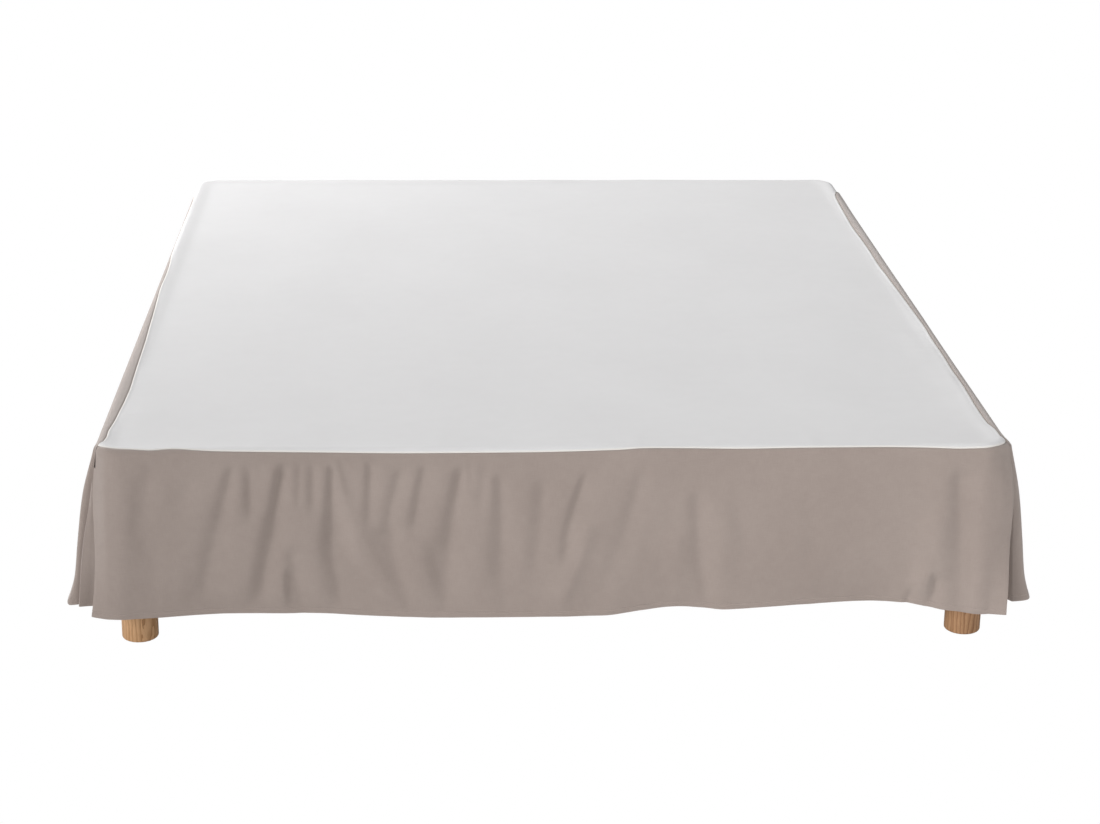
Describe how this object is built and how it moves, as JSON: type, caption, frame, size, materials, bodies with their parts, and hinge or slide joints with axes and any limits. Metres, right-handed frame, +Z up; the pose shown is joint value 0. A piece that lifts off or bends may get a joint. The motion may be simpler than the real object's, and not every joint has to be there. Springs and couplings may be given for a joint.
{
  "type": "bed skirt on a bed base",
  "caption": "Fitted bed skirt with a flat platform sheet, a hemmed drop on three sides and corner pleats, lying on a low upholstered bed base on round wooden legs.",
  "frame": {"origin": "on the floor, under the middle of the whole part", "axes": "+X across the bed to the right as seen from the foot, +Y along the bed from the foot to the head, +Z up"},
  "size_m": [1.7359, 2.0351, 0.3726],
  "materials": {
    "platform_cloth": "plain white woven cloth, matte",
    "skirt_cloth": "plain warm grey woven cloth, matte",
    "base_cloth": "plain upholstery cloth, matte",
    "leg_wood": "light wood with an upright grain, satin"
  },
  "bodies": {
    "root": {"deck": "platform_cloth", "skirt_front": "skirt_cloth", "skirt_left": "skirt_cloth", "skirt_right": "skirt_cloth", "base_box": "base_cloth", "leg_front_left": "leg_wood", "leg_front_right": "leg_wood", "leg_back_left": "leg_wood", "leg_back_right": "leg_wood"}
  },
  "joints": []
}
